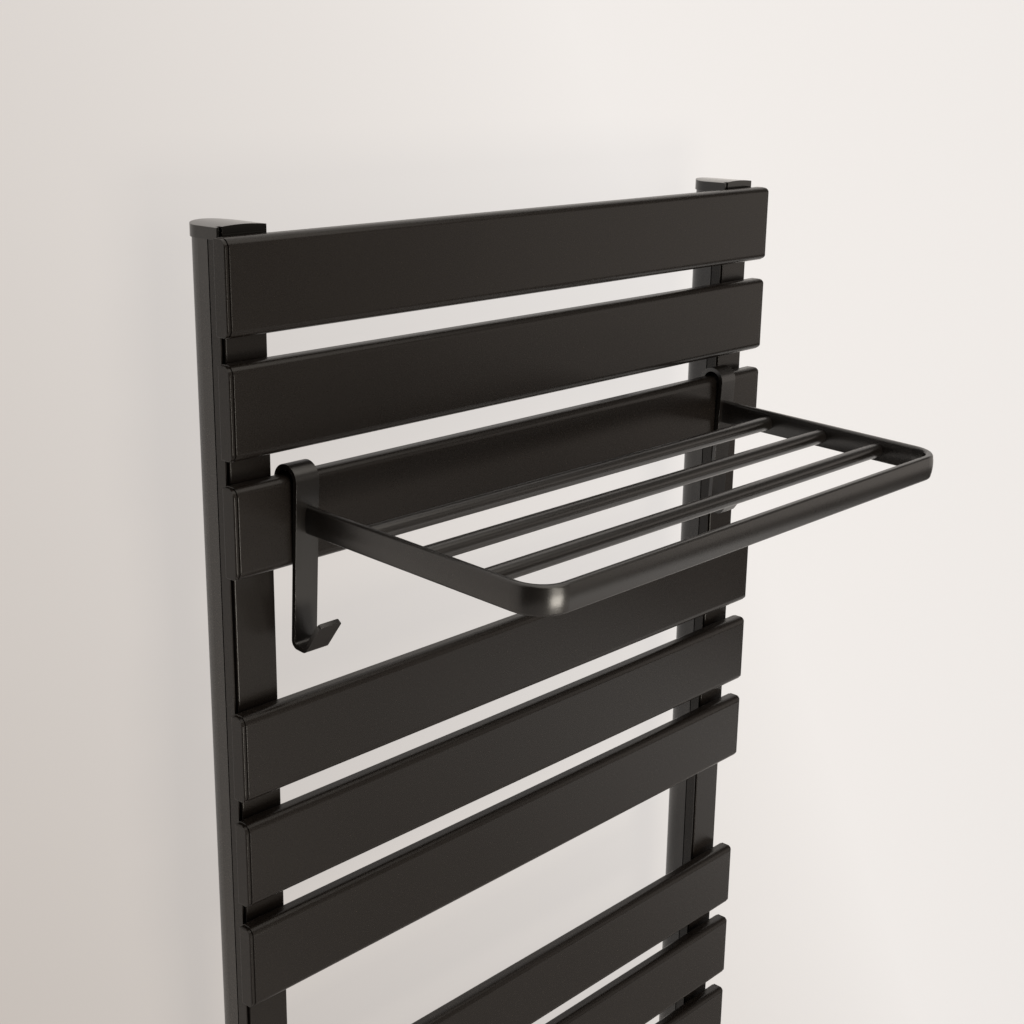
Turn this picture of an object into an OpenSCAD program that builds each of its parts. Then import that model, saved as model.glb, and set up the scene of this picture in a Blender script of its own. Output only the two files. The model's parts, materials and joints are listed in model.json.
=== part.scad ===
// Wall-hung towel radiator with flat panels and a hang-on towel rack.
// Millimetres. +Z is up, -Y is the front, and the wall is the plane Y = 0.
// The origin is the centre of the four wall screws.

/* [Panels] */
// Length of a panel with its end plates
width = 600; // [450:10:700]
// Height of one panel
panel_h = 64; // [56:1:66]
// Depth of one panel, front to back
panel_d = 13; // [12:0.5:16]
// Radius of a panel's two front edges
panel_front_r = 6; // [5:0.5:7]
// Radius of a panel's two back edges
panel_back_r = 2.5; // [2:0.25:4]
// Wall thickness of the hollow panels
panel_wall = 1.6; // [1.2:0.1:2]
// Distance from one panel to the next
panel_pitch = 81; // [78:1:90]
// Panels that follow each other before one place is left empty
group_size = 3; // [3:1:4]
// Groups of panels
groups = 4; // [2:1:4]
// Thickness of the plate that closes each panel end
end_plate_t = 3; // [2.5:0.5:4]
// Edge radius of an end plate
end_plate_r = 1; // [0.5:0.1:1.2]
// How far an end plate lies inside the panel's outline
end_plate_inset = 0.5; // [0:0.1:0.8]
// Radius of a panel's own end edges, under the plates
panel_end_r = 0.8; // [0.2:0.1:0.8]
// Gap between the panels' backs and the uprights
standoff = 4; // [3:0.5:6]

/* [Uprights] */
// Width of an upright
upright_w = 38; // [36:1:44]
// How far the panels reach past the uprights' outer sides
upright_inset = 7; // [4:1:12]
// Depth of the front block of an upright, up to the seam
block_d = 9.3; // [8.5:0.1:10]
// Width of the seam between the front block and the rear cover
seam = 1; // [0.5:0.1:1.5]
// Depth at which an upright's straight sides end and its round back starts
side_d = 20.5; // [19:0.5:24]
// Depth of the rails that the rear cover snaps onto
rail_d = 14.5; // [13:0.5:16]
// Wall thickness of the rear cover
cover_wall = 1.6; // [1.2:0.1:2]
// Width of the recess along the left front corner
recess_w = 2.6; // [1.5:0.1:3]
// Depth of that recess
recess_d = 3.2; // [2:0.1:4]
// Thickness of the lip outside it
lip_t = 0.8; // [0.6:0.1:1.2]
// Radius of the raised face's edges
face_r = 1.2; // [0.6:0.1:1.8]
// Radius of the water channel
channel_r = 12.5; // [12.2:0.1:12.8]
// Wall thickness around the water channel
channel_wall = 2.5; // [2:0.1:2.8]
// How far the channel's centre lies behind the upright's front
channel_y = 19; // [18.5:0.5:20]

/* [Caps and fittings] */
// Height of the top and bottom caps
cap_h = 8; // [6:0.5:12]
// How far a cap stands out past the upright
cap_overhang = 1.1; // [0.5:0.1:2]
// Rise of the top cap's crown
cap_crown = 1.2; // [0.6:0.1:2]
// How far the uprights end short of the outermost panel edges
upright_short = 3; // [0:0.5:6]
// Radius of the bore of the G1/2 pipe ports
port_r = 9.3; // [9:0.1:9.5]
// Length of the thread in the pipe ports
port_l = 15; // [12:1:20]
// Outer radius of the nipples between panels and uprights
nipple_r = 8; // [7:0.5:9]
// Height of the bleed valve below the uprights' top ends
bleed_drop = 26; // [20:1:40]

/* [Wall brackets] */
// Clear space between the wall and the back of the uprights
wall_gap = 38.5; // [28:0.5:60]
// Distance from the middle of the width to a bracket
bracket_x = 200; // [120:10:200]
// Which panel carries a bracket, counted from the top and from the bottom
bracket_panel = 2; // [1:1:3]
// Radius of a bracket's stem
stem_r = 8; // [7:0.5:8.5]
// Outer radius of a wall socket
socket_r = 16; // [14:0.5:20]
// Depth of a wall socket
socket_d = 20; // [16:1:24]
// Radius of the wall screw holes
wall_screw_r = 3; // [2.5:0.25:3.5]

/* [Towel rack] */
// Which panel the rack hangs on, counted from the top
rack_panel = 3; // [3:1:3]
// Width of the hook straps
hook_w = 20; // [16:1:24]
// Thickness of the hook straps
hook_t = 3.5; // [3:0.25:4]
// How far the arches' centre lies below the middle of the panel's upper back edge
arch_drop = 1.5; // [1:0.5:4]
// Side play between a hook and the upright beside it
hook_play = 2; // [0.5:0.5:3]
// Lean of the hooks when they rest on their panel, degrees
hook_lean = 3; // [2:0.25:3.5]
// Length of a hook from its arch's centre to its lowest point
hook_l = 119; // [100:0.5:130]
// Length of the short leg behind the panel
hook_back_l = 12; // [8:0.5:13]
// Inner radius of the first bend at a hook's foot
bend_r = 2.5; // [1.5:0.5:5]
// Turn of that first bend, degrees
bend_turn = 88; // [70:1:90]
// Length of the flat between a foot's two bends
foot_l = 5.8; // [3:0.1:10]
// Inner radius of the second bend, where the lip starts
toe_r = 1.5; // [1:0.25:3]
// Length of the lip after that bend
lip_l = 25.5; // [16:0.5:30]
// Rise of the lip above a right angle to the strap, degrees
lip_rise = 57; // [45:1:65]
// Height of the rack frame's flat bar
bar_h = 20; // [18:1:24]
// Thickness of the rack frame's flat bar
bar_t = 8; // [7:0.5:10]
// Edge radius of that bar
bar_edge_r = 2.5; // [1:0.5:3]
// Radius of the shallow arch across the bar's wide faces
bar_face_r = 38; // [34:1:80]
// Outer radius of the frame's front corners
frame_corner_r = 26; // [20:1:45]
// How far the frame reaches out from the hooks
frame_reach = 215; // [200:1:260]
// Upward pitch of the frame from a right angle to the hooks, degrees
frame_pitch = 0.65; // [0:0.05:2.5]
// How far the middle of a side bar lies inside the middle of its strap
bar_inset = 2; // [0:0.5:5]
// Height of the bar's centre below the hooks' arch centre
bar_drop = 27; // [22:1:34]
// Distance from the hooks to the first rod
rod_first = 47.5; // [40:0.5:60]
// Distance from one rod to the next
rod_pitch = 54.5; // [50:0.5:60]
// Radius of the rods
rod_r = 6; // [4:0.5:7]

/* [Hidden] */
$fn = 64;
clearance = 0.05;      // between pieces that fit into each other
rest_gap = 0.3;        // between the hooks and the panel they rest on
big = 400;             // larger than anything it cuts
slots = groups * group_size + groups - 1;
stack_h = (slots - 1) * panel_pitch + panel_h;
crest_z = stack_h / 2;
upright_d = side_d + upright_w / 2;
upright_back_y = -wall_gap;
upright_front_y = upright_back_y - upright_d;
panel_back_y = upright_front_y - standoff;
panel_front_y = panel_back_y - panel_d;
upright_x = width / 2 - upright_inset - upright_w / 2;
upright_top = crest_z - upright_short;
upright_l = 2 * upright_top;
body_l = width - 2 * end_plate_t;
way_h = (panel_h - 4 * panel_wall) / 3;
web_z = (way_h + panel_wall) / 2;   // a web lies behind each bracket
seam_t = 0.5;          // shadow groove between a panel and its end plate
seam_inset = end_plate_inset + 0.5;
spigot_l = 4;          // how far plates and caps reach into their tubes
collar_t = standoff / 2;
gasket_t = (standoff - collar_t) / 2;
collar_r = nipple_r + 4;
nipple_bore_r = nipple_r - 2;
pocket_x = 5;          // inner side of the chambers beside the channel
pocket_wall = 2;
rail_x = upright_w / 2 - cover_wall - clearance;
lip_set = 0.4;         // how far the lip lies behind the face
bead_r = 0.7;          // snap bead that holds a rear cover
bead_y = rail_d - 2;
rib_w = 14;            // rib behind the channel that takes the bleed valve
rib_y = upright_d - 4;
stud_r = 4;            // thread of the bracket stems
plug_l = 12;
ring_r = 1;            // section radius of the plugs' rubber rings
ring_bite = 0.2;
port_flange_r = channel_r + 1.5;
port_flange_t = cap_h - 2;
port_web = 4;          // what closes a port behind its thread, but for the way through
bleed_r = 4.9;
bleed_thread_l = rib_y - channel_y - channel_r - 1;
bleed_hex = 14;
bleed_out = 9;
bleed_screw_r = 3;
bleed_key = 4;
bleed_z = upright_top - bleed_drop;
boss_r = stem_r + 2;
boss_l = 12;
stem_thread_l = 10;
bracket_z = panel_z(bracket_panel - 1) - web_z;
socket_base = 6;
screw_head_room = 6;
grub_r = 2.5;
grub_y = -(socket_base + screw_head_room + socket_d) / 2;
grub_key_r = 1.3;
hole_play = 0.3;
hook_x = upright_x - upright_w / 2 - hook_play - hook_w / 2;
bar_x = hook_x - bar_inset;
rod_seat = 2;
bar_trim = 2;          // what is cut off where a bar meets its strap
hook_screw_r = 2;
hook_screw_head_r = 3.6;
hook_screw_head_t = 1.6;
hook_screw_l = 14;
hook_screw_dz = 6;

// Where the hooks come to rest: the straps lean on the lower front edge of the
// panel while the arches bear on its upper back edge. strap_y is where a strap's
// back face passes the height of the arches' centre, and hook_r is the inner
// radius at which an arch that starts there touches the back edge.
rack_crest = panel_z(rack_panel - 1) + panel_h / 2;
arch_z = rack_crest - panel_back_r - arch_drop;
low_z = rack_crest - panel_h + panel_front_r;
strap_y = panel_front_y + panel_front_r + tan(hook_lean) * (low_z - arch_z)
    - (panel_front_r + rest_gap) / cos(hook_lean);
edge_gap = panel_back_r + rest_gap;
edge_y = panel_back_y - panel_back_r - strap_y;
edge_b = edge_y / cos(hook_lean) - edge_gap;
edge_c = edge_y * edge_y + arch_drop * arch_drop - edge_gap * edge_gap;
hook_r = edge_c / (edge_b + sqrt(edge_b * edge_b - pow(tan(hook_lean), 2) * edge_c));
arch_y = strap_y + hook_r / cos(hook_lean);
hook_out_r = hook_r + hook_t;

coat = [0.20, 0.185, 0.17];
coat_light = [0.30, 0.28, 0.26];
brass = [0.72, 0.58, 0.30];
bare_metal = [0.66, 0.67, 0.68];
rubber = [0.06, 0.06, 0.06];

// Slot numbers that hold a panel, from the top down.
function panel_slot(n) = n + floor(n / group_size);
function panel_z(n) = crest_z - panel_slot(n) * panel_pitch - panel_h / 2;
panels = groups * group_size;

// Children once for each upright side: 1 is right, -1 is left.
module at_panels(side) {
    for (n = [0 : panels - 1]) translate([side * upright_x, 0, panel_z(n)]) children();
}

module at_brackets() {
    for (sx = [-1, 1], sz = [-1, 1])
        translate([sx * bracket_x, 0, sz * bracket_z]) children();
}

// A cylinder from y0 to y1 along +Y.
module rod_y(r, y0, y1, sides = 64) {
    translate([0, y0, 0]) rotate([-90, 0, 0]) cylinder(r = r, h = y1 - y0, $fn = sides);
}

// Cross-section of a panel: x is depth from its front, y is height from its middle.
module panel_section(inset = 0) {
    h = panel_h / 2 - inset;
    rf = panel_front_r - inset;
    rb = max(panel_back_r - inset, 0.4);
    x0 = inset;
    x1 = panel_d - inset;
    translate([x0, rf - h]) square([rf, 2 * (h - rf)]);
    translate([x0 + rf, -h]) square([x1 - rb - x0 - rf, 2 * h]);
    translate([x1 - rb, rb - h]) square([rb, 2 * (h - rb)]);
    for (s = [-1, 1]) {
        translate([x0 + rf, s * (h - rf)]) circle(r = rf);
        translate([x1 - rb, s * (h - rb)]) circle(r = rb);
    }
}

// The three water ways inside a panel.
module panel_ways(play = 0) {
    intersection() {
        panel_section(panel_wall + play);
        for (k = [-1 : 1])
            translate([0, k * (way_h + panel_wall) - way_h / 2 + play]) square([panel_d, way_h - 2 * play]);
    }
}

// Extrudes a panel section along X from x0 to x1, at the middle of panel n.
module along_x(x0, x1) {
    translate([x0, panel_front_y, 0]) rotate([90, 0, 90]) linear_extrude(x1 - x0) children();
}

module panel(n) {
    color(coat) translate([0, 0, panel_z(n)]) difference() {
        round_ends(-body_l / 2, body_l / 2, 0, panel_end_r)
            along_x(-body_l / 2, body_l / 2) difference() {
                panel_section();
                panel_ways();
            }
        for (s = [-1, 1]) translate([s * upright_x, 0, 0])
            rod_y(nipple_r + clearance, panel_back_y - panel_wall - 1, panel_back_y + 1);
    }
}

module end_plate() {
    round_ends(0, width / 2, end_plate_inset, end_plate_r)
        along_x(body_l / 2 + seam_t, width / 2) panel_section(end_plate_inset);
    along_x(body_l / 2, body_l / 2 + seam_t) panel_section(seam_inset);
    along_x(body_l / 2 - spigot_l, body_l / 2) panel_ways(clearance);
}

// Rounds what lies between x0 and x1 at the corners that show from the front and
// from above. The panel's outline is taken inset by that much.
module round_ends(x0, x1, inset, r) {
    half = panel_h / 2 - inset;
    intersection() {
        children();
        translate([0, 0, -panel_h]) linear_extrude(2 * panel_h)
            round_box(x0, x1, panel_front_y + inset, panel_back_y - inset, r);
        rotate([90, 0, 0]) linear_extrude(-2 * panel_front_y)
            round_box(x0, x1, -half, half, r);
    }
}

// Rectangle from x0, y0 to x1, y1 with round corners.
module round_box(x0, x1, y0, y1, r) {
    translate([x0, y0 + r]) square([x1 - x0, y1 - y0 - 2 * r]);
    translate([x0 + r, y0]) square([x1 - x0 - 2 * r, y1 - y0]);
    for (x = [x0 + r, x1 - r], y = [y0 + r, y1 - r]) translate([x, y]) circle(r = r);
}

module end_plates(side) {
    color(coat) for (n = [0 : panels - 1])
        translate([0, 0, panel_z(n)]) mirror([side < 0 ? 1 : 0, 0, 0]) end_plate();
}

// Outer outline of an upright, grown by g: x is across, y is depth from its front.
module upright_outline(g = 0) {
    half = upright_w / 2 + g;
    translate([-half, -g]) square([2 * half, side_d + g]);
    translate([0, side_d]) circle(r = half, $fn = 120);
}

// Front block with a recess and a thin lip at its left corner.
module front_block() {
    half = upright_w / 2;
    face_x = lip_t + recess_w - half;
    translate([face_x, face_r]) square([half - face_x, recess_d]);
    translate([face_x + face_r, 0]) square([half - face_x - 2 * face_r, face_r]);
    for (x = [face_x + face_r, half - face_r]) translate([x, face_r]) circle(r = face_r);
    translate([-half, lip_set]) square([lip_t, recess_d]);
    translate([-half, recess_d]) square([2 * half, block_d - recess_d]);
    translate([-rail_x, recess_d]) square([2 * rail_x, rail_d - recess_d]);
}

module upright_section() {
    difference() {
        union() {
            front_block();
            translate([0, channel_y]) circle(r = channel_r + channel_wall);
            translate([-rib_w / 2, channel_y]) square([rib_w, rib_y - channel_y]);
        }
        translate([0, channel_y]) circle(r = channel_r);
        difference() {
            for (s = [-1, 1]) translate([s * (pocket_x + rail_x - pocket_wall) / 2, 0])
                translate([-(rail_x - pocket_wall - pocket_x) / 2, recess_d + pocket_wall])
                    square([rail_x - pocket_wall - pocket_x, rail_d - recess_d - 2 * pocket_wall]);
            translate([0, channel_y]) circle(r = channel_r + channel_wall);
        }
        for (s = [-1, 1]) translate([s * (rail_x + clearance), bead_y]) circle(r = bead_r + clearance, $fn = 24);
    }
}

module upright(side) {
    color(coat) difference() {
        translate([side * upright_x, upright_front_y, -upright_l / 2])
            linear_extrude(upright_l) upright_section();
        at_panels(side)
            rod_y(nipple_r + clearance, upright_front_y - 1, upright_front_y + channel_y);
        if (side > 0) translate([upright_x, 0, bleed_z])
            rod_y(bleed_r + clearance, upright_front_y + channel_y, upright_front_y + rib_y + 1);
    }
}

module rear_cover(side) {
    color(coat_light) difference() {
        translate([side * upright_x, upright_front_y, -upright_l / 2]) linear_extrude(upright_l) {
            difference() {
                upright_outline();
                upright_outline(-cover_wall);
                translate([-upright_w, -upright_w]) square([2 * upright_w, upright_w + block_d + seam]);
            }
            for (s = [-1, 1]) intersection() {
                translate([s * (upright_w / 2 - cover_wall), bead_y]) circle(r = bead_r, $fn = 24);
                upright_outline();
            }
        }
        if (side > 0) translate([upright_x, 0, bleed_z])
            rod_y(bleed_hex / 2 / cos(30) + hole_play, upright_front_y + rib_y, upright_back_y + 1);
    }
}

// Hollow nipple with a collar that sets the panel off from the upright.
module nipples(side) {
    color(bare_metal) at_panels(side) difference() {
        union() {
            rod_y(nipple_r, panel_back_y - panel_wall - 2, upright_front_y + recess_d + pocket_wall + 2);
            rod_y(collar_r, panel_back_y + gasket_t, upright_front_y - gasket_t);
        }
        rod_y(nipple_bore_r, panel_back_y - panel_wall - 3, upright_front_y + channel_y);
    }
}

module gaskets(side) {
    color(rubber) at_panels(side)
        for (y0 = [panel_back_y, upright_front_y - gasket_t]) difference() {
            rod_y(collar_r - 0.5, y0, y0 + gasket_t);
            rod_y(nipple_r + clearance, y0 - 1, y0 + gasket_t + 1);
        }
}

// Places something on an upright's water channel, with z measured from its top end.
module on_channel(side) {
    translate([side * upright_x, upright_front_y + channel_y, upright_top]) children();
}

module top_plug(side) {
    color(brass) on_channel(side) translate([0, 0, -plug_l]) difference() {
        cylinder(r = channel_r - clearance, h = plug_l);
        translate([0, 0, plug_l / 2]) rotate_extrude()
            translate([channel_r - ring_r + ring_bite, 0]) circle(r = ring_r + clearance, $fn = 32);
        translate([0, 0, plug_l - 5]) cylinder(r = 5, h = 6, $fn = 6);
    }
}

module plug_rings() {
    color(rubber) for (side = [-1, 1]) on_channel(side) translate([0, 0, -plug_l / 2])
        intersection() {
            rotate_extrude() translate([channel_r - ring_r + ring_bite, 0]) circle(r = ring_r, $fn = 32);
            cylinder(r = channel_r, h = 4 * ring_r, center = true);
        }
}

// Outline of a cap. It follows the upright with its front recess.
module cap_outline() {
    difference() {
        upright_outline(cap_overhang);
        translate([lip_t - upright_w / 2, -cap_overhang - 1]) square([recess_w, recess_d + 1]);
    }
}

// Pegs that press a cap into the chambers beside the water channel.
module cap_pegs() {
    intersection() {
        difference() {
            for (s = [-1, 1]) translate([s * (pocket_x + rail_x - pocket_wall) / 2, rail_d / 2])
                square([rail_x - pocket_wall - pocket_x - 4 * clearance, rail_d], center = true);
            translate([0, channel_y]) circle(r = channel_r + channel_wall + 4 * clearance);
        }
        translate([-big / 2, recess_d + pocket_wall + 2 * clearance])
            square([big, rail_d - recess_d - 2 * pocket_wall - 4 * clearance]);
    }
}

module top_cap(side) {
    half = upright_w / 2 + cap_overhang;
    crown_r = (half * half + cap_crown * cap_crown) / (2 * cap_crown);
    color(coat_light) translate([side * upright_x, upright_front_y, upright_top]) {
        intersection() {
            linear_extrude(cap_h + cap_crown) cap_outline();
            translate([0, -half, cap_h + cap_crown - crown_r]) rotate([-90, 0, 0])
                cylinder(r = crown_r, h = big / 2, $fn = 720);
        }
        translate([0, 0, -2 * spigot_l]) linear_extrude(2 * spigot_l) cap_pegs();
    }
}

module bottom_cap(side) {
    color(coat_light) translate([side * upright_x, upright_front_y, -upright_top]) {
        difference() {
            translate([0, 0, -cap_h]) linear_extrude(cap_h) cap_outline();
            translate([0, channel_y, -cap_h - 1]) cylinder(r = port_flange_r + clearance, h = cap_h + 2);
        }
        linear_extrude(2 * spigot_l) cap_pegs();
    }
}

// Threaded bush for the supply and return pipes.
module pipe_port(side) {
    color(brass) on_channel(side) translate([0, 0, -upright_l]) difference() {
        union() {
            cylinder(r = channel_r - clearance, h = port_l + port_web);
            translate([0, 0, -port_flange_t]) cylinder(r = port_flange_r, h = port_flange_t);
        }
        translate([0, 0, -port_flange_t - 1]) cylinder(r = port_r, h = port_l + 1);
        translate([0, 0, -port_flange_t]) cylinder(r = port_r - 2, h = big / 2);
    }
}

module bleed_valve_body() {
    y0 = upright_front_y + rib_y;
    color(brass) translate([upright_x, 0, bleed_z]) difference() {
        union() {
            rod_y(bleed_r, y0 - bleed_thread_l, y0);
            rod_y(bleed_hex / 2 / cos(30), y0, y0 + bleed_out, 6);
        }
        rod_y(bleed_screw_r + clearance, y0 - 2, y0 + bleed_out + 1);
        rod_y(1, y0 - bleed_thread_l - 1, y0);
        translate([0, y0 + bleed_out / 2, -bleed_hex]) cylinder(r = 0.9, h = bleed_hex, $fn = 24);
    }
}

module bleed_screw() {
    y0 = upright_front_y + rib_y;
    color(bare_metal) translate([upright_x, 0, bleed_z]) difference() {
        union() {
            rod_y(bleed_screw_r, y0 - 2 + clearance, y0 + bleed_out - 3);
            translate([-bleed_key / 2, y0 + bleed_out - 3, -bleed_key / 2]) cube([bleed_key, 4, bleed_key]);
        }
        translate([-big / 2, y0 + bleed_out + 0.2, -0.4]) cube([big, 2, 0.8]);
    }
}

// Cup on the wall with the wall screw's hole in its base.
module wall_sockets() {
    color(coat_light) at_brackets() difference() {
        rod_y(socket_r, -socket_d, 0);
        rod_y(stem_r + 2 * clearance, -socket_d - 1, -socket_base);
        rod_y(wall_screw_r, -socket_base - 1, 1);
        translate([0, grub_y, -socket_r - 1]) cylinder(r = grub_r + clearance, h = socket_r + 1);
    }
}

// Threaded boss on the back of a panel, in line with one of its webs.
module bracket_bosses() {
    color(coat) at_brackets() difference() {
        rod_y(boss_r, panel_back_y, panel_back_y + boss_l);
        rod_y(stud_r + clearance, panel_back_y + 1, panel_back_y + boss_l + 1);
    }
}

// Stem with a threaded end that screws into its boss.
module bracket_stems() {
    y0 = panel_back_y + boss_l;
    color(bare_metal) at_brackets() {
        rod_y(stud_r, y0 - stem_thread_l, y0);
        rod_y(stem_r, y0, -socket_base - screw_head_room);
    }
}

module socket_screws() {
    color(bare_metal) at_brackets() translate([0, grub_y, -socket_r + 0.5]) difference() {
        cylinder(r = grub_r, h = socket_r - 0.5 - stem_r);
        translate([0, 0, -1]) cylinder(r = grub_key_r, h = 4, $fn = 6);
    }
}

// Puts the rack's own frame in place: its origin is the arch centre, -Y is out from the wall.
module rack_place() {
    translate([0, arch_y, arch_z]) rotate([hook_lean, 0, 0]) children();
}

// Points on an arc about c, from angle a0 to a1 in steps of about 5 degrees.
function arc(c, r, a0, a1) = let (n = ceil(abs(a1 - a0) / 5))
    [for (k = [0 : n]) let (a = a0 + (a1 - a0) * k / n) c + r * [cos(a), sin(a)]];

// One side of the strap, from the end of the short leg to the tip of the lip: the
// arch, the foot's first bend, its flat and the bend into the lip, all given by the
// radii that this side has there. x is out from the wall, y is up from the arch's centre.
function strap_side(arch_r, foot_r) = let (
    end = 180 + bend_turn,
    inner = toe_r - bend_r,
    toe_h = toe_r + hook_t - hook_l,
    foot = [hook_out_r + bend_r, toe_h + foot_l * cos(bend_turn) - inner * sin(bend_turn)],
    toe = foot + foot_l * [sin(bend_turn), -cos(bend_turn)] - inner * [cos(end), sin(end)],
    side_r = foot_r + inner)
    concat([[-arch_r, -hook_back_l]], arc([0, 0], arch_r, 180, 0), arc(foot, foot_r, 180, end),
        arc(toe, side_r, end, 270 + lip_rise),
        [toe + side_r * [sin(lip_rise), -cos(lip_rise)] + lip_l * [cos(lip_rise), sin(lip_rise)]]);

function backwards(list) = [for (k = [len(list) - 1 : -1 : 0]) list[k]];

module hook_profile() {
    polygon(concat(strap_side(hook_out_r, bend_r), backwards(strap_side(hook_r, bend_r + hook_t))));
}

// The strap is bent in the plane of the profile and is hook_w wide along X.
module hook(side) {
    color(coat) rack_place() difference() {
        translate([side * hook_x - hook_w / 2, 0, 0])
            rotate([90, 0, 90]) linear_extrude(hook_w) mirror([1, 0]) hook_profile();
        at_hook_screws(side) {
            rod_y(hook_screw_r + clearance, -hook_t - 1, 1);
            translate([0, -hook_screw_head_t, 0]) rod_y(hook_screw_head_r + clearance, 0, 2);
        }
    }
}

// Screws come from the strap's back face, which is Y = 0 here.
module at_hook_screws(side) {
    for (dz = [-1, 1])
        translate([side * bar_x, -hook_r, -bar_drop + dz * hook_screw_dz]) children();
}

module hook_screws() {
    color(bare_metal) rack_place() for (side = [-1, 1]) at_hook_screws(side) difference() {
        union() {
            rod_y(hook_screw_r, -hook_screw_l, -hook_screw_head_t);
            rod_y(hook_screw_head_r, -hook_screw_head_t, 0);
        }
        rod_y(1.2, -1, 1, 6);
    }
}

// The bar's section, x across and y up, about its centre. Each wide face is a
// shallow arch that runs on into the round edges.
module bar_section() {
    to_face = bar_face_r - bar_t / 2;
    to_edge = bar_face_r - bar_edge_r;
    edge_y = bar_h / 2 - bar_edge_r;
    edge_x = sqrt(to_edge * to_edge - edge_y * edge_y) - to_face;
    intersection() {
        translate([-to_face, 0]) circle(r = bar_face_r, $fn = 360);
        translate([to_face, 0]) circle(r = bar_face_r, $fn = 360);
        square([bar_t, 2 * bar_face_r * edge_y / to_edge], center = true);
    }
    square([2 * edge_x, bar_h], center = true);
    for (sx = [-1, 1], sy = [-1, 1])
        translate([sx * edge_x, sy * edge_y]) circle(r = bar_edge_r, $fn = 32);
}

// The frame's own place: its origin is where the bars leave the straps.
module frame_place() {
    rack_place() translate([0, -hook_out_r, -bar_drop]) rotate([-frame_pitch, 0, 0]) children();
}

module rack_frame() {
    mid_r = frame_corner_r - bar_t / 2;
    bend_y = frame_corner_r - frame_reach;
    color(coat) difference() {
        frame_place() difference() {
            union() {
                for (s = [-1, 1]) {
                    translate([s * bar_x, bar_trim, 0]) rotate([90, 0, 0])
                        linear_extrude(bar_trim - bend_y) bar_section();
                    translate([s * (bar_x - mid_r), bend_y, 0]) mirror([s < 0 ? 1 : 0, 0, 0])
                        rotate([0, 0, -90]) rotate_extrude(angle = 90) translate([mid_r, 0]) bar_section();
                }
                translate([mid_r - bar_x, bend_y - mid_r, 0]) rotate([90, 0, 90])
                    linear_extrude(2 * (bar_x - mid_r)) bar_section();
            }
            for (k = [0 : 2], s = [-1, 1])
                translate([s * (bar_x - bar_t / 2), -rod_first - k * rod_pitch, 0])
                    rotate([0, 90, 0]) cylinder(r = rod_r + clearance, h = 2 * rod_seat, center = true);
        }
        rack_place() {
            translate([-big, -hook_out_r, -big / 2]) cube([2 * big, big, big]);
            for (s = [-1, 1]) at_hook_screws(s) rod_y(hook_screw_r + clearance, -hook_screw_l - 1, 0);
        }
    }
}

// Rod k counts from the hooks, and its ends sit in the frame's shallow seats.
module rack_rod(k) {
    half = bar_x - bar_t / 2 + rod_seat - clearance;
    color(coat) frame_place() translate([-half, -rod_first - k * rod_pitch, 0])
        rotate([0, 90, 0]) cylinder(r = rod_r, h = 2 * half);
}

upright(-1);  // left_upright
upright(1);  // right_upright
rear_cover(-1);  // left_rear_cover
rear_cover(1);  // right_rear_cover
for (n = [0 : panels - 1])
    panel(n);
end_plates(-1);  // left_end_plates
end_plates(1);  // right_end_plates
nipples(-1);  // left_nipples
nipples(1);  // right_nipples
gaskets(-1);  // left_gaskets
gaskets(1);  // right_gaskets
top_plug(-1);  // left_top_plug
top_plug(1);  // right_top_plug
plug_rings();
top_cap(-1);  // left_top_cap
top_cap(1);  // right_top_cap
bottom_cap(-1);  // left_bottom_cap
bottom_cap(1);  // right_bottom_cap
pipe_port(-1);  // left_pipe_port
pipe_port(1);  // right_pipe_port
bleed_valve_body();
bleed_screw();
bracket_bosses();
bracket_stems();
wall_sockets();
socket_screws();
hook(-1);  // left_hook
hook(1);  // right_hook
rack_frame();
rack_rod(0);  // rear_rod
rack_rod(1);  // middle_rod
rack_rod(2);  // front_rod
hook_screws();
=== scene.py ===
import json
import math
import bpy
from mathutils import Matrix, Vector


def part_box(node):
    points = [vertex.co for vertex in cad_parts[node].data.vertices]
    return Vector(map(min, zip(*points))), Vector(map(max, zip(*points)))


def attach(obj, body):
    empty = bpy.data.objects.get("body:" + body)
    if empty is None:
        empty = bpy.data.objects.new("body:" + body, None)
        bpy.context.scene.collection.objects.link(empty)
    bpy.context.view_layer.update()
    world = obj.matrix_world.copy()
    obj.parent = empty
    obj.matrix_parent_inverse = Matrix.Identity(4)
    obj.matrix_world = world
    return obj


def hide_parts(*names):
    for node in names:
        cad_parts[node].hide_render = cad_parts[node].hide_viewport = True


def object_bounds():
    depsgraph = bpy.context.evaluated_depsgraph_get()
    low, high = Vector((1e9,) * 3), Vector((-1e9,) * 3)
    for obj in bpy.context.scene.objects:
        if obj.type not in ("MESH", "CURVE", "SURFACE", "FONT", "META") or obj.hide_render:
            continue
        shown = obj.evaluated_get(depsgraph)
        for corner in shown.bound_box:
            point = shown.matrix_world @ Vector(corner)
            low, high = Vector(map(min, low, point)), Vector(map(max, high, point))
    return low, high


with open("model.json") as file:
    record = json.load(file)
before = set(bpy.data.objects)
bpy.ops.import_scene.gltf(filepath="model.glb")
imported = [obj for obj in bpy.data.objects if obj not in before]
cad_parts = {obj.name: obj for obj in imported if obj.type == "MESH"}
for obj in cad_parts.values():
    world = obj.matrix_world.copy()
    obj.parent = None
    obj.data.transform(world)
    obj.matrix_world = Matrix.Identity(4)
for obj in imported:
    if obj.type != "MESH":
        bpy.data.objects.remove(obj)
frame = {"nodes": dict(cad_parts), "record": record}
cadLow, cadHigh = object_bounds()
nodes = frame["nodes"]
bodies = frame["record"]["behaviour"]["bodies"]
bodyOf = {node: body for body, members in bodies.items() for node in members}
slotOf = {entry["node"]: entry["material_slot"] for entry in frame["record"]["subparts"]}
print("frame loaded:", len(nodes), "nodes")

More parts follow.
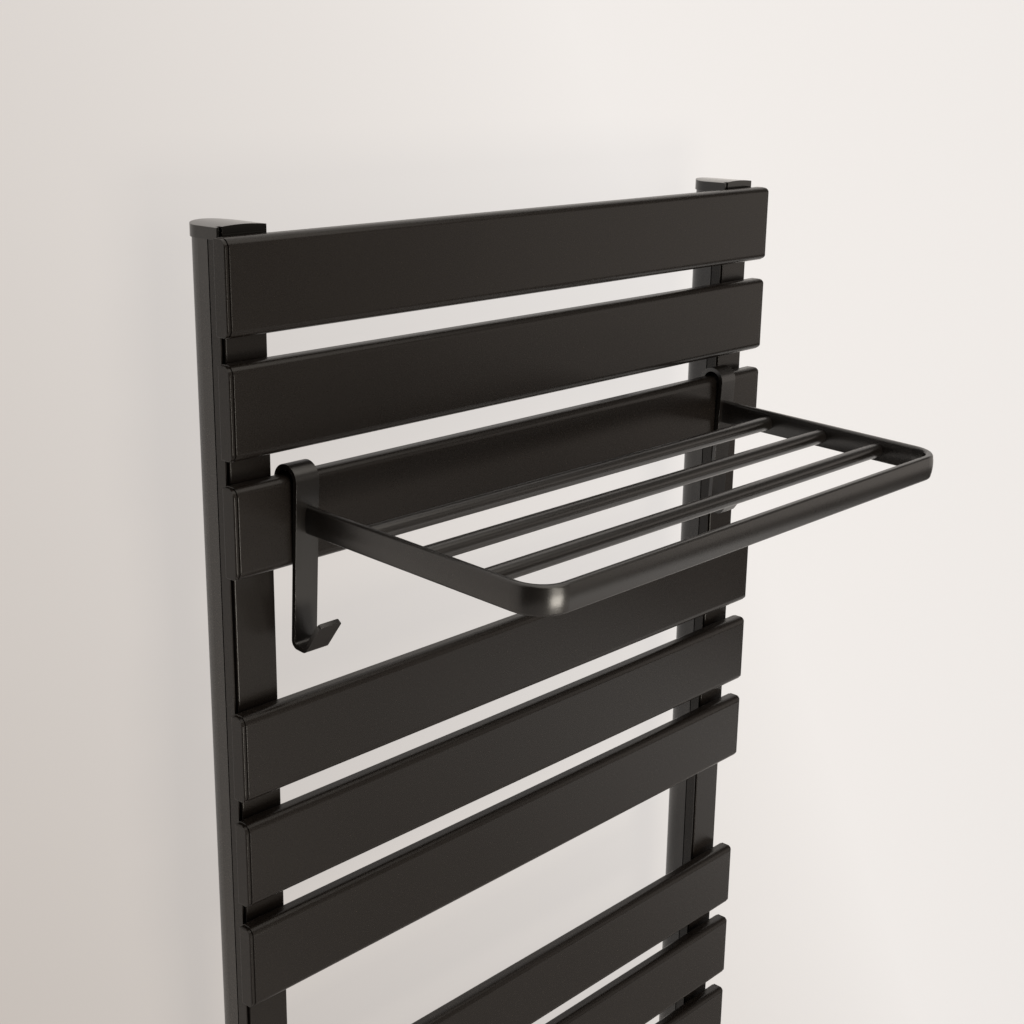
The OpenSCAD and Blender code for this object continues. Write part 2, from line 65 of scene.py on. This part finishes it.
# the camera's place is measured from the left end plates and the top panel, in metres
viewpoint = {
    "fromLeftEnd": -0.614, "fromPanelFront": -0.8096, "aboveCrest": 0.1181,
    "turn": -47.443, "tilt": 73.702, "roll": 0.803,
    "lens": 56.15, "sensor": 36, "near": 0.05, "far": 60,
}


def addCamera(v):
    place = Vector((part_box("left_end_plates")[0].x + v["fromLeftEnd"],
                    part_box("panel_01")[0].y + v["fromPanelFront"],
                    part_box("panel_01")[1].z + v["aboveCrest"]))
    data = bpy.data.cameras.new("camera")
    data.lens = v["lens"]
    data.sensor_width = v["sensor"]
    data.clip_start = v["near"]
    data.clip_end = v["far"]
    camera = bpy.data.objects.new("camera", data)
    bpy.context.scene.collection.objects.link(camera)
    turn = Matrix.Rotation(math.radians(v["turn"]), 4, "Z")
    tilt = Matrix.Rotation(math.radians(v["tilt"]), 4, "X")
    roll = Matrix.Rotation(math.radians(v["roll"]), 4, "Z")
    camera.matrix_world = Matrix.Translation(place) @ turn @ tilt @ roll
    bpy.context.scene.camera = camera


addCamera(viewpoint)
print("camera placed")

colourSockets = {"first": 6, "second": 7, "result": 2}  # where a Mix node keeps its colours
noiseMiddle = 0.5


# helpers for shader trees: a socket takes either another node's output or a plain value
def feed(tree, socket, value):
    if isinstance(value, bpy.types.NodeSocket):
        tree.links.new(value, socket)
    else:
        socket.default_value = value


def opaque(colour):
    return (*colour, 1)


def mathNode(tree, operation, *values):
    node = tree.nodes.new("ShaderNodeMath")
    node.operation = operation
    for socket, value in zip(node.inputs, values):
        feed(tree, socket, value)
    return node.outputs[0]


def noiseNode(tree, scale, detail, coords):
    node = tree.nodes.new("ShaderNodeTexNoise")
    node.inputs["Detail"].default_value = detail
    feed(tree, node.inputs["Scale"], scale)
    feed(tree, node.inputs["Vector"], coords)
    return node.outputs[0]


def colourMix(tree, factor, first, second):
    node = tree.nodes.new("ShaderNodeMix")
    node.data_type = "RGBA"
    feed(tree, node.inputs["Factor"], factor)
    feed(tree, node.inputs[colourSockets["first"]], first)
    feed(tree, node.inputs[colourSockets["second"]], second)
    return node.outputs[colourSockets["result"]]


def shaderMix(tree, factor, first, second):
    node = tree.nodes.new("ShaderNodeMixShader")
    for socket, value in zip(node.inputs, (factor, first, second)):
        feed(tree, socket, value)
    return node.outputs[0]


def objectCoords(tree):
    return tree.nodes.new("ShaderNodeTexCoord").outputs["Object"]


# the blend of fine and coarse peel that all coats share
peel = {
    "fineDetail": 2, "fineHeight": 0.6, "coarseDetail": 1, "coarseScale": 0.22, "coarseHeight": 0.8,
    "driftDetail": 3, "speck": 0.1,
}
coatSockets = {
    "INPUT": {"Colour": "Color", "Light Colour": "Color", "Grain Scale": "Float",
              "Drift Scale": "Float", "Roughness": "Float", "Spread": "Float"},
    "OUTPUT": {"Colour": "Color", "Roughness": "Float", "Height": "Float"},
}


# fine peel of a baked coat: its height for a bump, and a colour and gloss that drift slowly
def powderGroup(p):
    group = bpy.data.node_groups.new("powderCoat", "ShaderNodeTree")
    for side, sockets in coatSockets.items():
        for label, kind in sockets.items():
            group.interface.new_socket(label, in_out=side, socket_type="NodeSocket" + kind)
    start = group.nodes.new("NodeGroupInput").outputs
    end = group.nodes.new("NodeGroupOutput").inputs
    coords = objectCoords(group)
    fine = noiseNode(group, start["Grain Scale"], p["fineDetail"], coords)
    coarseScale = mathNode(group, "MULTIPLY", start["Grain Scale"], p["coarseScale"])
    coarse = noiseNode(group, coarseScale, p["coarseDetail"], coords)
    drift = noiseNode(group, start["Drift Scale"], p["driftDetail"], coords)
    fineHeight = mathNode(group, "MULTIPLY", fine, p["fineHeight"])
    coarseHeight = mathNode(group, "MULTIPLY", coarse, p["coarseHeight"])
    fromMiddle = mathNode(group, "SUBTRACT", drift, noiseMiddle)
    wave = mathNode(group, "MULTIPLY", fromMiddle, start["Spread"])
    fineFromMiddle = mathNode(group, "SUBTRACT", fine, noiseMiddle)
    speck = mathNode(group, "MULTIPLY", fineFromMiddle, p["speck"])
    change = mathNode(group, "ADD", wave, speck)
    feed(group, end["Colour"], colourMix(group, drift, start["Colour"], start["Light Colour"]))
    feed(group, end["Roughness"], mathNode(group, "ADD", start["Roughness"], change))
    feed(group, end["Height"], mathNode(group, "ADD", fineHeight, coarseHeight))
    return group


powderCoat = powderGroup(peel)


def newMaterial(name):
    material = bpy.data.materials.new(name)
    material.use_nodes = True
    tree = material.node_tree
    return material, tree, tree.nodes["Principled BSDF"]


def coatMaterial(name, look):
    material, tree, shader = newMaterial(name)
    group = tree.nodes.new("ShaderNodeGroup")
    group.node_tree = powderCoat
    group.inputs["Colour"].default_value = opaque(look["colour"])
    group.inputs["Light Colour"].default_value = opaque(look["light"])
    group.inputs["Grain Scale"].default_value = look["grain"]
    group.inputs["Drift Scale"].default_value = look["drift"]
    group.inputs["Roughness"].default_value = look["roughness"]
    group.inputs["Spread"].default_value = look["spread"]
    bump = tree.nodes.new("ShaderNodeBump")
    bump.inputs["Strength"].default_value = look["bump"]
    bump.inputs["Distance"].default_value = look["depth"]
    tree.links.new(group.outputs["Height"], bump.inputs["Height"])
    tree.links.new(bump.outputs[0], shader.inputs["Normal"])
    tree.links.new(group.outputs["Colour"], shader.inputs["Base Color"])
    tree.links.new(group.outputs["Roughness"], shader.inputs["Roughness"])
    shader.inputs["Metallic"].default_value = look["metal"]
    shader.inputs["Specular IOR Level"].default_value = look["specular"]
    return material


# one finish for each material slot, and the others start from the panels' satin coat
satinCoat = {
    "colour": (0.0095, 0.0074, 0.0062), "light": (0.0130, 0.0102, 0.0086),
    "grain": 1500.0, "drift": 7.0, "roughness": 0.28, "spread": 0.06,
    "bump": 0.2, "depth": 0.00005, "metal": 0.0, "specular": 0.4,
}
looks = {
    "panel_coat": satinCoat,
    "cover_coat": dict(satinCoat, roughness=0.26, specular=0.85),
    "rack_coat": dict(satinCoat, colour=(0.0060, 0.0047, 0.0039), light=(0.0085, 0.0067, 0.0056),
                      roughness=0.29, specular=1.0),
    "cap_plastic": dict(satinCoat, colour=(0.010, 0.009, 0.008), light=(0.012, 0.011, 0.010),
                        roughness=0.06, spread=0.02, bump=0.02, specular=0.65),
    "brass": dict(satinCoat, colour=(0.60, 0.42, 0.16), light=(0.70, 0.50, 0.22),
                  metal=1.0, grain=900.0),
    "plated_steel": dict(satinCoat, colour=(0.50, 0.51, 0.52), light=(0.62, 0.63, 0.64),
                         metal=1.0, roughness=0.32, grain=1100.0),
    "seal_rubber": dict(satinCoat, colour=(0.010, 0.010, 0.010), light=(0.016, 0.016, 0.016),
                        roughness=0.7),
}
materials = {slot: coatMaterial(slot, look) for slot, look in looks.items()}
for name, slot in slotOf.items():
    nodes[name].data.materials.clear()
    nodes[name].data.materials.append(materials[slot])
print("materials assigned")


def selectOnly(piece):
    bpy.ops.object.select_all(action="DESELECT")
    piece.select_set(True)
    bpy.context.view_layer.objects.active = piece


def editMode(piece):
    selectOnly(piece)
    bpy.ops.object.mode_set(mode="EDIT")


def objectMode():
    bpy.ops.object.mode_set(mode="OBJECT")


shellLook = {"mergeWithin": 0.000002, "flatWithin": 0.2}  # metres and degrees


# a copy of a node with its loose facets merged into whole faces, ready for its edges to be rounded
def mergedCopy(name):
    piece = bpy.data.objects.new(name + "_shell", nodes[name].data.copy())
    bpy.context.scene.collection.objects.link(piece)
    editMode(piece)
    bpy.ops.mesh.customdata_custom_splitnormals_clear()
    bpy.ops.mesh.select_all(action="SELECT")
    bpy.ops.mesh.remove_doubles(threshold=shellLook["mergeWithin"])
    bpy.ops.mesh.dissolve_limited(angle_limit=math.radians(shellLook["flatWithin"]))
    objectMode()
    return piece


def roundedEdges(piece, look):
    sharp = math.radians(look["sharp"])
    bevel = piece.modifiers.new("edges", "BEVEL")
    bevel.width = look["edge"]
    bevel.segments = look["edgeSegments"]
    bevel.limit_method = "ANGLE"
    bevel.angle_limit = sharp
    bevel.harden_normals = True
    selectOnly(piece)
    bpy.ops.object.shade_smooth_by_angle(angle=sharp)
    bpy.ops.object.modifier_apply(modifier=bevel.name)


def standsFor(piece, name):
    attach(piece, bodyOf[name])
    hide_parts(name)


hookLook = {
    "edge": 0.0005, "edgeSegments": 3, "sharp": 35,
    "hangsOn": "panel_03", "lipRise": 54, "corner": 0.003, "cornerSegments": 6,
    "levelWithin": 0.00001,
}


# the two corners at the tip of the lip are well rounded, and every edge of the strap is eased
def addHook(name, h):
    piece = mergedCopy(name)
    mesh = piece.data
    rise = math.radians(h["lipRise"])
    along = Vector((0, -math.cos(rise), math.sin(rise)))
    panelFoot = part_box(h["hangsOn"])[0].z
    foot = [vertex for vertex in mesh.vertices if vertex.co.z < panelFoot]
    reach = max(vertex.co.dot(along) for vertex in foot)
    tip = {vertex.index for vertex in foot if reach - vertex.co.dot(along) < h["levelWithin"]}
    editMode(piece)
    bpy.ops.mesh.select_mode(type="EDGE")
    bpy.ops.mesh.select_all(action="DESELECT")
    objectMode()
    for edge in mesh.edges:
        start, end = edge.vertices
        level = abs(mesh.vertices[start].co.x - mesh.vertices[end].co.x) < h["levelWithin"]
        edge.select = start in tip and end in tip and level
    editMode(piece)
    bpy.ops.mesh.bevel(offset=h["corner"], segments=h["cornerSegments"], affect="EDGES")
    objectMode()
    roundedEdges(piece, h)
    standsFor(piece, name)


for name in ("left_hook", "right_hook"):
    addHook(name, hookLook)
print("hooks eased")

capLook = {"edge": 0.0006, "edgeSegments": 3, "sharp": 35}
fittingLook = {"edge": 0.0005, "edgeSegments": 2, "sharp": 40}


def addEased(name, look):
    piece = mergedCopy(name)
    roundedEdges(piece, look)
    standsFor(piece, name)


for name in ("left_top_cap", "right_top_cap", "left_bottom_cap", "right_bottom_cap"):
    addEased(name, capLook)
print("caps eased")
for name in ("wall_sockets", "bleed_valve_body", "bleed_screw",
             "left_pipe_port", "right_pipe_port"):
    addEased(name, fittingLook)
print("fittings eased")


def clamped(tree, value):
    node = tree.nodes.new("ShaderNodeClamp")
    feed(tree, node.inputs[0], value)
    return node.outputs[0]


def separated(tree, coords):
    node = tree.nodes.new("ShaderNodeSeparateXYZ")
    feed(tree, node.inputs[0], coords)
    return node.outputs


# a paint with a glow mixed in, by one share where it is seen and another where it is mirrored; the
# mirrored share is a painted reflection on the coat
def glowingPaint(tree, shader, colour, look):
    glow = tree.nodes.new("ShaderNodeEmission")
    feed(tree, glow.inputs["Color"], colour)
    path = tree.nodes.new("ShaderNodeLightPath").outputs
    direct = mathNode(tree, "MULTIPLY", path["Is Camera Ray"], look["glow"])
    share = mathNode(tree, "MULTIPLY_ADD", path["Is Glossy Ray"], look["mirrored"], direct)
    return shaderMix(tree, share, shader.outputs[0], glow.outputs[0])


# the wall's colour runs from shade to light: a painted shade across it, darker at its lower left
wallLook = {
    "size": 7.0, "gap": 0.0008, "light": (0.90, 0.868, 0.845), "shade": (0.58, 0.535, 0.50),
    "start": 0.42, "perX": 1.0, "perZ": 0.6, "glow": 0.86, "mirrored": 0.6,
    "roughness": 0.9, "specular": 0.1,
}


# the wall is seen near its own colour, is painted darker towards its lower left as painted shade,
# and is clear from behind
def wallMaterial(w):
    material, tree, shader = newMaterial("wallPaint")
    place = separated(tree, objectCoords(tree))
    across = mathNode(tree, "MULTIPLY_ADD", place["X"], w["perX"], w["start"])
    amount = clamped(tree, mathNode(tree, "MULTIPLY_ADD", place["Z"], w["perZ"], across))
    colour = colourMix(tree, amount, opaque(w["shade"]), opaque(w["light"]))
    feed(tree, shader.inputs["Base Color"], colour)
    shader.inputs["Roughness"].default_value = w["roughness"]
    shader.inputs["Specular IOR Level"].default_value = w["specular"]
    # the glow carries the painted shade into what is seen and, as a painted reflection, into what
    # the coat mirrors
    lit = glowingPaint(tree, shader, colour, w)
    clear = tree.nodes.new("ShaderNodeBsdfTransparent").outputs[0]
    behind = tree.nodes.new("ShaderNodeNewGeometry").outputs["Backfacing"]
    surface = tree.nodes["Material Output"].inputs["Surface"]
    feed(tree, surface, shaderMix(tree, behind, lit, clear))
    return material


# light and shade are the ends of the floor's painted reflection, a glow that only mirror rays see
floorLook = {
    "size": 5.0, "drop": 0.25, "colour": (0.46, 0.44, 0.42), "roughness": 0.8,
    "driftScale": 2.0, "driftDetail": 3, "driftShade": 0.96,
    "seen": (0.86, 0.832, 0.805), "glow": 0.55, "mirrored": 0.88,
    "light": (0.96, 0.92, 0.88), "shade": (0.36, 0.33, 0.305), "start": -1.1, "perX": 1.0,
}


# the floor is pale and keeps its shadows; to the coat's mirror rays it glows instead as a painted
# reflection, darker at the left and paler towards the right
def floorMaterial(f):
    material, tree, shader = newMaterial("floorPaint")
    coords = objectCoords(tree)
    drift = noiseNode(tree, f["driftScale"], f["driftDetail"], coords)
    darker = tuple(part * f["driftShade"] for part in f["colour"])
    paint = colourMix(tree, drift, opaque(f["colour"]), opaque(darker))
    feed(tree, shader.inputs["Base Color"], paint)
    shader.inputs["Roughness"].default_value = f["roughness"]
    across = separated(tree, coords)["X"]
    amount = clamped(tree, mathNode(tree, "MULTIPLY_ADD", across, f["perX"], f["start"]))
    # painted reflection: the glow that mirror rays see, darker at the left and paler to the right
    mirrored = colourMix(tree, amount, opaque(f["shade"]), opaque(f["light"]))
    direct = tree.nodes.new("ShaderNodeLightPath").outputs["Is Camera Ray"]
    colour = colourMix(tree, direct, mirrored, opaque(f["seen"]))
    surface = tree.nodes["Material Output"].inputs["Surface"]
    feed(tree, surface, glowingPaint(tree, shader, colour, f))
    return material


def stagePlane(name, size, place, turn, material):
    bpy.ops.object.select_all(action="DESELECT")
    bpy.ops.mesh.primitive_plane_add(size=size, location=place, rotation=turn)
    plane = bpy.context.object
    plane.name = name
    bpy.ops.object.transform_apply(location=True, rotation=True, scale=True)
    plane.data.materials.append(material)


def addRoom(w, f):
    floorZ = cadLow.z - f["drop"]
    wallPlace = (0, cadHigh.y + w["gap"], floorZ + w["size"] / 2)
    upright = (math.pi / 2, 0, 0)
    stagePlane("wall", w["size"], wallPlace, upright, wallMaterial(w))
    stagePlane("floor", f["size"], (0, 0, floorZ), (0, 0, 0), floorMaterial(f))


addRoom(wallLook, floorLook)

lamps = {
    "softBox": {"place": (-0.05, -2.2, -0.38), "aim": (-0.1, 0, 0.2), "size": (1.15, 0.72),
                "power": 23, "tint": (1, 0.93, 0.82)},
    "highBox": {"place": (-0.05, -2.25, 0.90), "aim": (-0.1, 0, 0.3), "size": (1.1, 1.5),
                "power": 14, "tint": (1, 0.93, 0.82)},
    "ceiling": {"place": (0.3, -1.2, 2.6), "aim": (0, 0, 0.3), "size": (3.0, 2.4),
                "power": 26, "tint": (1, 0.93, 0.84)},
    "board": {"place": (4.5, -1.75, 0.7), "aim": (0, 0, 0.4), "size": (5.0, 3.0),
              "power": 28, "tint": (1, 0.91, 0.83)},
}


def addLamp(name, lamp):
    data = bpy.data.lights.new(name, "AREA")
    data.shape = "RECTANGLE"
    data.size, data.size_y = lamp["size"]
    data.energy = lamp["power"]
    data.color = lamp["tint"]
    light = bpy.data.objects.new(name, data)
    bpy.context.scene.collection.objects.link(light)
    light.location = lamp["place"]
    aim = Vector(lamp["aim"]) - Vector(lamp["place"])
    light.rotation_euler = aim.to_track_quat("-Z", "Y").to_euler()
    light.visible_camera = False


for name, lamp in lamps.items():
    addLamp(name, lamp)

airLook = {"colour": (1, 0.93, 0.86), "strength": 0.06, "seen": (0.86, 0.84, 0.81)}


def addWorld(a):
    world = bpy.data.worlds.new("studio")
    bpy.context.scene.world = world
    world.use_nodes = True
    tree = world.node_tree
    soft = tree.nodes["Background"]
    soft.inputs["Color"].default_value = opaque(a["colour"])
    soft.inputs["Strength"].default_value = a["strength"]
    seen = tree.nodes.new("ShaderNodeBackground")
    seen.inputs["Color"].default_value = opaque(a["seen"])
    direct = tree.nodes.new("ShaderNodeLightPath").outputs["Is Camera Ray"]
    air = shaderMix(tree, direct, soft.outputs[0], seen.outputs[0])
    feed(tree, tree.nodes["World Output"].inputs["Surface"], air)


addWorld(airLook)
bpy.context.scene.view_settings.view_transform = "Standard"
print("stage and light set")
